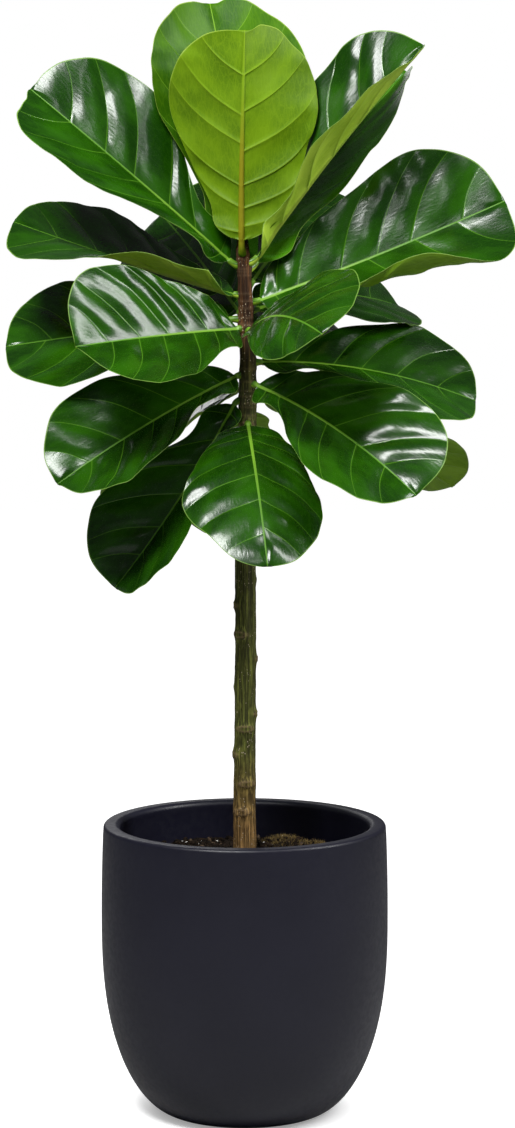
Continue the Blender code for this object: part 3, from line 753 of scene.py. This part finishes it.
def build_leaves():
    materials = {name: leaf_material(name, look) for name, look in LEAF_LOOKS.items()}
    for seed, (node, leaf) in enumerate(LEAVES.items(), 1):
        upper, under = YOUNG_AND_PAINTED_LIT_LEAVES.get(node, ("old", "old"))
        looks = [materials[upper + " leaf upper face"], materials[under + " leaf underside"]]
        young = upper == "young"
        verts, faces, kinds, patterns = leaf_mesh(leaf, seed, young)
        item = add_mesh(node.replace("leaf_", "") + "_leaf", verts, faces, looks, kinds, patterns)
        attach(item, BODY)
        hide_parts(node)


# ---- trunk ----

TRUNK_SIDES = 72
TRUNK_STEP = 1.4 * MM
TRUNK_FOOT = SOIL_HIGH.z - 20 * MM
# The terminal tip: its rise above the CAD trunk, and the rings of its round end.
TIP_ROUND = 10 * MM
TIP_ANGLES = (10, 30, 50, 70, 84)
# Uneven bark: (height, size round the trunk, size up it, seed), in mm, and the azimuths over which
# it closes on itself.
MEAN_RADIUS = 11.0
BARK_LUMPS = ((0.60, 3.0, 90, 11), (0.75, 1.5, 60, 12), (0.20, 2.6, 6, 13), (0.15, 1.3, 3.0, 14))
BARK_SEAM = (300, 360)
# Old leaf scars: (height, azimuth).
SCARS = (
    (0.337, 250), (0.369, 285), (0.401, 185), (0.431, 272), (0.447, 5), (0.477, 120), (0.508, 20),
    (0.536, 235), (0.568, 178), (0.596, 60), (0.622, 300), (0.648, 160), (0.676, 10), (0.704, 215),
    (0.728, 330), (0.750, 95), (0.768, 265),
)
SCAR_WIDTH = 42.0
SCAR_LENGTH = 3.2 * MM
SCAR_KNOB = 2.1
SCAR_RING = 0.6
# The collar that each petiole grows from, and the line that rings the trunk below it.
COLLAR_SWELL = 1.6 * MM
COLLAR_LENGTH = 6.0 * MM
COLLAR_WIDTH = 55.0
LINE_DROP = 7 * MM
LINE_WIDTH = 1.2 * MM
LINE_HEIGHT = 0.4 * MM
LINE_MARK = 0.35


def turn_between(a, b):
    """The angle from b to a, from -180 to 180."""
    return (a - b + 180) % 360 - 180


def bark_noise(z, a, across, tall, seed):
    """Noise that closes on itself round the trunk."""
    around = np.radians(a) * MEAN_RADIUS
    loop = 2 * math.pi * MEAN_RADIUS
    here = cloud(around / across, z / tall, seed)
    again = cloud((around - loop) / across, z / tall, seed)
    blend = smooth(a, *BARK_SEAM)
    return here * (1 - blend) + again * blend


def bark_relief(z, a):
    """How far the bark stands out at a height and azimuth, and how clearly a scar marks it."""
    relief = np.zeros_like(z)
    mark = np.zeros_like(z)
    for height, across, tall, seed in BARK_LUMPS:
        relief = relief + height * MM * bark_noise(z, a, across, tall * MM, seed)
    for height, azimuth in SCARS:
        turn = turn_between(a, azimuth) / SCAR_WIDTH
        level = (z - height) / SCAR_LENGTH
        knob = np.exp(-(turn * 0.7) ** 2 - (level / 2.0) ** 2)
        ring = np.exp(-((np.sqrt(turn ** 2 + level ** 2) - 0.9) / 0.35) ** 2)
        relief = relief + (SCAR_KNOB * knob + SCAR_RING * ring) * MM
        mark = np.maximum(mark, ring)
    for leaf in LEAVES.values():
        turn = turn_between(a, leaf.azimuth[0]) / COLLAR_WIDTH
        level = (z - leaf.height) / COLLAR_LENGTH
        relief = relief + COLLAR_SWELL * np.exp(-turn ** 2 - level ** 2)
        line = np.exp(-((z - leaf.height + LINE_DROP) / LINE_WIDTH) ** 2)
        relief = relief + LINE_HEIGHT * line
        mark = np.maximum(mark, LINE_MARK * line)
    return relief, mark


def build_trunk():
    tip = TRUNK_TOP + TIP_ROUND * np.sin(np.radians(TIP_ANGLES))
    heights = np.concatenate([np.arange(TRUNK_FOOT, TRUNK_TOP, TRUNK_STEP), tip])
    azimuths = np.arange(TRUNK_SIDES) * 360.0 / TRUNK_SIDES
    z, a = np.meshgrid(heights, azimuths, indexing="ij")
    radius, x = trunk_at(z)
    past = np.clip((z - TRUNK_TOP) / TIP_ROUND, 0, 1)
    relief, mark = bark_relief(z, a)
    radius = radius * np.sqrt(1 - past ** 2) + relief * (1 - past) * smooth(past, 1.0, 0.0)
    turn = np.radians(a)
    verts = np.stack([x + radius * np.cos(turn), radius * np.sin(turn), z], -1).reshape(-1, 3)
    faces = ring_faces(len(heights), TRUNK_SIDES)
    faces.append(tuple(reversed(range(TRUNK_SIDES))))
    faces.append(tuple(range(len(verts) - TRUNK_SIDES, len(verts))))
    bark = np.stack([mark, relief / MM, np.zeros_like(mark)], -1)
    item = add_mesh("bark_trunk", verts, faces, [bark_material()], patterns={"bark": bark})
    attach(item, BODY)
    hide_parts("trunk")


# The bark's colour at the foot, then (start, end, colour) of each change up the trunk.
BARK_FOOT = (0.270, 0.160, 0.055)
BARK_CHANGES = (
    (0.31, 0.42, (0.115, 0.130, 0.024)),
    # Painted shade: this change darkens the bark on the upper trunk, for the shade the leaves cast
    # on it.
    (0.50, 0.66, (0.075, 0.082, 0.017)),
    (0.80, 0.88, (0.075, 0.030, 0.008)),
)


def bark_material():
    paint = Paint("bark")
    place = paint.place()
    _, _, height = paint.parts(place)
    mark, relief, _ = paint.parts(paint.attribute("bark"))
    fibres = paint.noise(paint.stretch(place, (560.0, 560.0, 20.0)), 1.0, 4.0, 0.6)
    patches = paint.noise(paint.stretch(place, (150.0, 150.0, 60.0)), 1.0, 3.0, 0.6)
    grain = paint.noise(place, 900.0, 3.0, 0.7)
    base = BARK_FOOT
    for start, end, colour in BARK_CHANGES:
        base = paint.mix(paint.step(height, start, end), base, colour)
    dark = paint.mix(1.0, base, (0.30, 0.28, 0.26), "MULTIPLY")
    light = paint.mix(1.0, base, (2.3, 2.2, 2.2), "MULTIPLY")
    spots = paint.node("TexVoronoi", {"Vector": paint.stretch(place, (420.0, 420.0, 260.0)),
                                      "Scale": 1.0}, "Distance")
    some = paint.step(paint.noise(place, 60.0, 2.0), 0.50, 0.60)
    scar = paint.times(mark, paint.step(grain, 0.38, 0.58))
    colour = paint.coats(
        dark,
        (paint.step(fibres, 0.42, 0.60), base),
        (paint.step(fibres, 0.56, 0.70), light),
        (paint.times(paint.step(patches, 0.52, 0.70), 0.3), light),
        # Painted shade: the bark is darker where its relief is sunk.
        (paint.step(relief, 0.0, -0.7), dark),
        (paint.times(paint.step(spots, 0.24, 0.16), some), (0.46, 0.38, 0.26)),
        (paint.times(scar, 0.7), (0.27, 0.18, 0.10)))
    paint.set("Specular IOR Level", 0.25)
    rough = paint.step(grain, 0.3, 0.7, 0.62, 0.88)
    return paint.finish(colour, rough, paint.plus(fibres, paint.times(grain, 0.5)), 0.8, 0.6 * MM)


# ---- planter ----

POT_TOP = POT_HIGH.z
BELLY_HEIGHT = 0.215
BELLY_RADIUS = (POT_HIGH.x - POT_LOW.x) / 2
LIP_RADIUS = 0.1575
FOOT_RADIUS = 0.086
POT_WALL = 0.0185
POT_FLOOR = 0.020
FLOOR_ROUND = 0.012
LIP_OUTER_ROUND = 0.004
LIP_INNER_ROUND = 0.006
POT_SIDES = 160
# The drain holes in its floor.
DRAINS = 3
DRAIN_REACH = 0.045
DRAIN_RADIUS = 6 * MM


def pot_radius(z):
    """Outer radius of the planter: nearly upright above the belly, rounding in to the foot."""
    if z >= BELLY_HEIGHT:
        rise = (z - BELLY_HEIGHT) / (POT_TOP - BELLY_HEIGHT)
        return BELLY_RADIUS - (BELLY_RADIUS - LIP_RADIUS) * rise ** 2
    fall = (BELLY_HEIGHT - z) / BELLY_HEIGHT
    return FOOT_RADIUS + (BELLY_RADIUS - FOOT_RADIUS) * (1 - fall ** 2.5) ** 0.6


def arc(centre, radius, start, end, steps):
    """Points (r, z) along an arc."""
    angles = np.radians(np.linspace(start, end, steps))
    return [(centre[0] + radius * np.cos(a), centre[1] + radius * np.sin(a)) for a in angles]


def turned(profile, sides):
    """A solid of revolution: the profile (r, z) starts and ends on the axis."""
    angles = 2 * np.pi * np.arange(sides) / sides
    verts = [(0.0, 0.0, profile[0][1])]
    for r, z in profile[1:-1]:
        verts += [(r * np.cos(a), r * np.sin(a), z) for a in angles]
    verts.append((0.0, 0.0, profile[-1][1]))
    return verts, skin_faces(len(profile) - 2, sides)


def build_planter():
    low = BELLY_HEIGHT * (1 - np.cos(np.radians(np.linspace(4, 90, 34))))
    high = np.linspace(BELLY_HEIGHT, POT_TOP - LIP_OUTER_ROUND, 12)[1:-1]
    outside = [(0.0, 0.0), (FOOT_RADIUS - 2 * MM, 0.0), (FOOT_RADIUS, 0.0)]
    outside += [(pot_radius(z), z) for z in (0.25 * MM, *low, *high)]
    outer = arc((LIP_RADIUS - LIP_OUTER_ROUND, POT_TOP - LIP_OUTER_ROUND),
                LIP_OUTER_ROUND, 0, 90, 9)
    inner = arc((LIP_RADIUS - POT_WALL + LIP_INNER_ROUND, POT_TOP - LIP_INNER_ROUND),
                LIP_INNER_ROUND, 90, 180, 9)
    inside = [(pot_radius(z) - POT_WALL, z) for z in np.linspace(POT_TOP - 10 * MM, 26 * MM, 26)]
    floor = [(inside[-1][0] - FLOOR_ROUND, POT_FLOOR), (0.0, POT_FLOOR)]
    verts, faces = turned(outside + outer + inner + inside + floor, POT_SIDES)
    item = add_mesh("charcoal_planter", verts, faces, [glaze_material()])
    for i in range(DRAINS):
        drill_drain(item, 2 * math.pi * (i + 0.25) / DRAINS)
    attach(item, BODY)
    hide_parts("planter")


def drill_drain(pot, a):
    """Cuts one drain hole of the frame's planter."""
    place = Matrix.Translation((DRAIN_REACH * math.cos(a), DRAIN_REACH * math.sin(a), 0.0))
    edit = bmesh.new()
    bmesh.ops.create_cone(edit, cap_ends=True, segments=32, radius1=DRAIN_RADIUS,
                          radius2=DRAIN_RADIUS, depth=0.08, matrix=place)
    mesh = bpy.data.meshes.new("drill")
    edit.to_mesh(mesh)
    edit.free()
    drill = add_object("drill", mesh)
    cut = pot.modifiers.new("drain", "BOOLEAN")
    cut.operation = "DIFFERENCE"
    cut.solver = "EXACT"
    cut.object = drill
    bpy.context.view_layer.update()
    baked = pot.evaluated_get(bpy.context.evaluated_depsgraph_get())
    mesh_with_hole = bpy.data.meshes.new_from_object(baked)
    pot.modifiers.clear()
    pot.data = mesh_with_hole
    bpy.data.objects.remove(drill, do_unlink=True)
    bpy.data.meshes.remove(mesh)


def glaze_material():
    paint = Paint("matte charcoal glaze")
    place = paint.place()
    mottle = paint.noise(place, 9.0, 4.0, 0.6)
    grain = paint.noise(place, 700.0, 3.0, 0.7)
    pits = paint.noise(place, 160.0, 3.0, 0.6)
    colour = paint.coats(
        (0.0064, 0.0064, 0.0170),
        (paint.step(mottle, 0.35, 0.65), (0.0086, 0.0086, 0.0205)),
        (paint.step(grain, 0.62, 0.75, 0.0, 0.35), (0.020, 0.021, 0.027)))
    relief = paint.plus(paint.times(pits, 0.6), paint.times(grain, 0.3))
    rough = paint.step(pits, 0.3, 0.7, 0.38, 0.48)
    return paint.finish(colour, rough, relief, 0.25, 0.3 * MM)


# ---- soil ----

SOIL_EDGE = SOIL_HIGH.z - 10 * MM
SOIL_GAP = 0.6 * MM
SOIL_RADIUS = pot_radius(SOIL_EDGE) - POT_WALL - SOIL_GAP
SOIL_SIDES = 180
# The surface's unevenness: (height in mm, size, seed).
SOIL_LUMPS = ((2.6, 0.022, 31), (1.3, 0.008, 32), (0.7, 0.0035, 33))
# Loose grains: how many, their sizes, how uneven and how flat they are, how deep they sink.
Grains = namedtuple("Grains", "count seed sizes rough flat sink")
CLODS = Grains(1100, 41, (1.2 * MM, 4.6 * MM), 0.22, 0.9, 0.3)
PERLITE = Grains(80, 42, (0.8 * MM, 1.9 * MM), 0.12, 1.0, 0.0)
CHIPS = Grains(110, 43, (2.0 * MM, 5.0 * MM), 0.15, 0.25, -0.2)
# Patches of moss: (x, y, reach along x, reach along y, rise).
MOSS_PATCHES = ((0.048, 0.026, 0.034, 0.022, 0.015), (0.088, 0.014, 0.024, 0.018, 0.010))
TUFTS = 1500
TUFT_SEED = 44
FIRST_PATCH_SHARE = 0.72


def soil_level(x, y):
    """Height of the soil's surface."""
    share = np.clip(np.hypot(x, y) / SOIL_RADIUS, 0, 1)
    mound = (SOIL_HIGH.z - SOIL_EDGE) * np.cos(share * np.pi / 2) ** 2
    rough = sum(height * cloud(x / size, y / size, seed) for height, size, seed in SOIL_LUMPS)
    level = SOIL_EDGE + mound + rough * MM
    for px, py, rx, ry, rise in MOSS_PATCHES:
        reach = ((x - px) / rx) ** 2 + ((y - py) / ry) ** 2
        level = level + rise * np.exp(-reach * 1.2)
    return level


def lump(rng, rough, flat):
    """Vertices and faces of one small uneven grain of about unit radius."""
    edit = bmesh.new()
    bmesh.ops.create_icosphere(edit, subdivisions=1, radius=1.0)
    verts = np.array([v.co[:] for v in edit.verts])
    faces = [tuple(v.index for v in f.verts) for f in edit.faces]
    edit.free()
    verts = verts * (1 + rng.uniform(-rough, rough, (len(verts), 1)))
    verts = verts * np.array([1.0, rng.uniform(0.6, 1.0), flat * rng.uniform(0.6, 1.0)])
    turn = np.array(Matrix.Rotation(rng.uniform(0, 6.28), 3, Vector(rng.normal(size=3))))
    return verts @ turn.T, faces


def scatter(grains):
    """Vertices and faces of loose grains resting on the soil."""
    rng = np.random.default_rng(grains.seed)
    verts, faces = [], []
    for _ in range(grains.count):
        x, y = anywhere(rng)
        size = rng.uniform(*grains.sizes)
        shape, skin = lump(rng, grains.rough, grains.flat)
        level = soil_level(x, y) + size * (grains.flat - grains.sink) * 0.6
        faces += [tuple(i + len(verts) * len(shape) for i in face) for face in skin]
        verts.append(shape * size + np.array([x, y, level]))
    return np.concatenate(verts), faces


def anywhere(rng):
    """A spot on the soil, clear of the trunk and the planter's wall."""
    reach = (SOIL_RADIUS - 5 * MM) * math.sqrt(rng.uniform(0.016, 1.0))
    a = rng.uniform(0, 2 * math.pi)
    return reach * math.cos(a), reach * math.sin(a)


def build_soil():
    radii = SOIL_RADIUS * np.sqrt(np.linspace(0.006, 1.0, 90))
    angles = 2 * np.pi * np.arange(SOIL_SIDES) / SOIL_SIDES
    r, a = np.meshgrid(radii, angles, indexing="ij")
    x, y = r * np.cos(a), r * np.sin(a)
    rings = list(np.stack([x, y, soil_level(x, y)], -1))
    for z in np.linspace(SOIL_EDGE - 2 * MM, 30 * MM, 12):
        wall = pot_radius(z) - POT_WALL - SOIL_GAP
        height = np.full(SOIL_SIDES, z)
        rings.append(np.stack([wall * np.cos(angles), wall * np.sin(angles), height], -1))
    centre = [[0.0, 0.0, SOIL_HIGH.z]]
    bottom = [[0.0, 0.0, SOIL_LOW.z + 1 * MM]]
    clods, clod_faces = scatter(CLODS)
    verts = np.concatenate([centre, *rings, bottom, clods])
    under = len(verts) - len(clods)
    faces = turned_over(skin_faces(len(rings), SOIL_SIDES))
    faces += [tuple(i + under for i in face) for face in clod_faces]
    item = add_mesh("crumbly_soil", verts, faces, [soil_material()])
    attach(item, BODY)
    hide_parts("potting_soil")


def moss():
    """Vertices and faces of tufts of moss: thin pyramids that lean at random."""
    rng = np.random.default_rng(TUFT_SEED)
    verts, faces = [], []
    for _ in range(TUFTS):
        px, py, rx, ry, _ = MOSS_PATCHES[0 if rng.uniform() < FIRST_PATCH_SHARE else 1]
        x, y = rng.normal(px, rx * 0.5), rng.normal(py, ry * 0.5)
        root = np.array([x, y, soil_level(x, y) - 1 * MM])
        lean = rng.normal(0, 0.55, 2)
        tip = root + rng.uniform(2.5, 6.5) * MM * np.array([lean[0], lean[1], 1.0])
        width = rng.uniform(0.25, 0.6) * MM
        n = len(verts)
        for turn in 2 * math.pi * np.arange(3) / 3:
            verts.append(root + width * np.array([math.cos(turn), math.sin(turn), 0.0]))
        verts.append(tip)
        faces += [(n, n + 2, n + 1), (n, n + 1, n + 3), (n + 1, n + 2, n + 3), (n + 2, n, n + 3)]
    return np.array(verts), faces


def build_litter():
    """What lies on the soil: perlite, bark chips and moss."""
    perlite = grain_material("perlite", (0.55, 0.53, 0.48), (0.80, 0.79, 0.75), 0.75)
    chips = grain_material("bark chips", (0.025, 0.014, 0.007), (0.110, 0.065, 0.030), 0.85)
    green = grain_material("moss", (0.060, 0.036, 0.008), (0.190, 0.125, 0.026), 0.9)
    for name, (verts, faces), material in (("perlite_grains", scatter(PERLITE), perlite),
                                           ("bark_chips", scatter(CHIPS), chips),
                                           ("moss_tufts", moss(), green)):
        item = add_mesh(name, verts, faces, [material])
        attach(item, BODY)


def soil_material():
    paint = Paint("potting soil")
    place = paint.place()
    crumbs = paint.noise(place, 180.0, 4.0, 0.7)
    fine = paint.noise(place, 900.0, 3.0, 0.7)
    colour = paint.coats(
        (0.0035, 0.0026, 0.0020),
        (paint.step(crumbs, 0.35, 0.65), (0.020, 0.012, 0.007)),
        (paint.step(fine, 0.58, 0.75, 0.0, 0.6), (0.075, 0.050, 0.028)))
    paint.set("Specular IOR Level", 0.10)
    rough = paint.step(fine, 0.3, 0.7, 0.80, 0.97)
    return paint.finish(colour, rough, paint.plus(crumbs, fine), 0.9, 0.8 * MM)


def grain_material(name, dark, light, roughness):
    paint = Paint(name)
    place = paint.place()
    patch = paint.noise(place, 260.0, 3.0, 0.6)
    fine = paint.noise(place, 1500.0, 2.0, 0.6)
    colour = paint.coats(dark, (paint.step(patch, 0.35, 0.65), light),
                         (paint.step(fine, 0.35, 0.65, 0.25, 0.0), (0.0, 0.0, 0.0)))
    rough = paint.step(fine, 0.3, 0.7, roughness - 0.08, roughness + 0.06)
    return paint.finish(colour, rough, fine, 0.5, 0.3 * MM)


# ---- camera, floor and light ----

CAMERA_PLACE = (0.0143, -3.3, 0.95)
CAMERA_TARGET = (0.0143, 0.0, 0.6135)
# A focal length of 3000 pixels, for an image 1128 pixels high.
SENSOR = 36.0
LENS = SENSOR * 3000 / 1128
WHITE = (1.0, 1.0, 1.0)
# The floor looks whiter than it lights the plant, and greyer close round the planter.
FLOOR_LIT = (0.80, 0.80, 0.80)
FLOOR_UNSEEN = (0.45, 0.45, 0.45)
FLOOR_GLOW = (0.085, 0.15, 0.30, 1.0)
FLOOR_SIZE = 8.0
ROOM_LIGHT = 0.090
LIT_POINT = (0.0, 0.0, 0.85)
# (name, azimuth to the right of the camera's, elevation, distance, (width, height), power).
SOFTBOXES = (
    ("key softbox", -22, 47, 2.2, (0.80, 0.56), 56),
    ("front softbox", 3, 31, 2.2, (0.26, 0.30), 2.0),
    ("right softbox", 76, 32, 2.2, (0.4, 1.5), 36),
    ("back softbox", 195, 15, 2.4, (1.2, 0.8), 5),
)


def put(name, data, place, target):
    """Adds a camera or lamp that looks at a point."""
    item = add_object(name, data)
    item.location = place
    item.rotation_euler = (Vector(target) - item.location).to_track_quat("-Z", "Y").to_euler()
    return item


def add_camera():
    data = bpy.data.cameras.new("camera")
    data.sensor_width = SENSOR
    data.lens = LENS
    bpy.context.scene.camera = put("camera", data, CAMERA_PLACE, CAMERA_TARGET)


def add_softboxes():
    for name, azimuth, elevation, distance, size, power in SOFTBOXES:
        a, e = math.radians(azimuth), math.radians(elevation)
        way = Vector((math.sin(a) * math.cos(e), -math.cos(a) * math.cos(e), math.sin(e)))
        data = bpy.data.lights.new(name, "AREA")
        data.shape = "RECTANGLE"
        data.size, data.size_y = size
        data.energy = power
        put(name, data, Vector(LIT_POINT) + way * distance, LIT_POINT)


def add_floor():
    paint = Paint("white floor")
    x, y, _ = paint.parts(paint.place())
    far = paint.math("SQRT", paint.plus(paint.times(x, x), paint.times(y, y)))
    seen = paint.node("LightPath", output="Is Camera Ray")
    paint.set("Base Color", paint.mix(seen, FLOOR_UNSEEN, FLOOR_LIT))
    paint.set("Roughness", 0.9)
    paint.set("Specular IOR Level", 0.0)
    paint.set("Emission Color", WHITE)
    paint.set("Emission Strength", paint.times(paint.step(far, *FLOOR_GLOW), seen))
    corners = [(x * FLOOR_SIZE, y * FLOOR_SIZE, 0) for x, y in ((-1, -1), (1, -1), (1, 1), (-1, 1))]
    floor = add_mesh("floor", corners, [(0, 1, 2, 3)], [paint.material])
    floor.location.z = -0.5 * MM


def add_world():
    """White behind the plant, and a dim room everywhere else."""
    world = bpy.data.worlds.new("studio")
    bpy.context.scene.world = world
    world.use_nodes = True
    nodes, links = world.node_tree.nodes, world.node_tree.links
    room = nodes["Background"]
    room.inputs["Color"].default_value = (*WHITE, 1.0)
    room.inputs["Strength"].default_value = ROOM_LIGHT
    seen = nodes.new("ShaderNodeBackground")
    seen.inputs["Color"].default_value = (*WHITE, 1.0)
    path = nodes.new("ShaderNodeLightPath")
    blend = nodes.new("ShaderNodeMixShader")
    links.new(path.outputs["Is Camera Ray"], blend.inputs[0])
    links.new(room.outputs[0], blend.inputs[1])
    links.new(seen.outputs[0], blend.inputs[2])
    links.new(blend.outputs[0], nodes["World Output"].inputs[0])


build_leaves()
build_trunk()
build_planter()
build_soil()
build_litter()
add_camera()
add_floor()
add_world()
add_softboxes()
bpy.context.scene.view_settings.view_transform = "Standard"
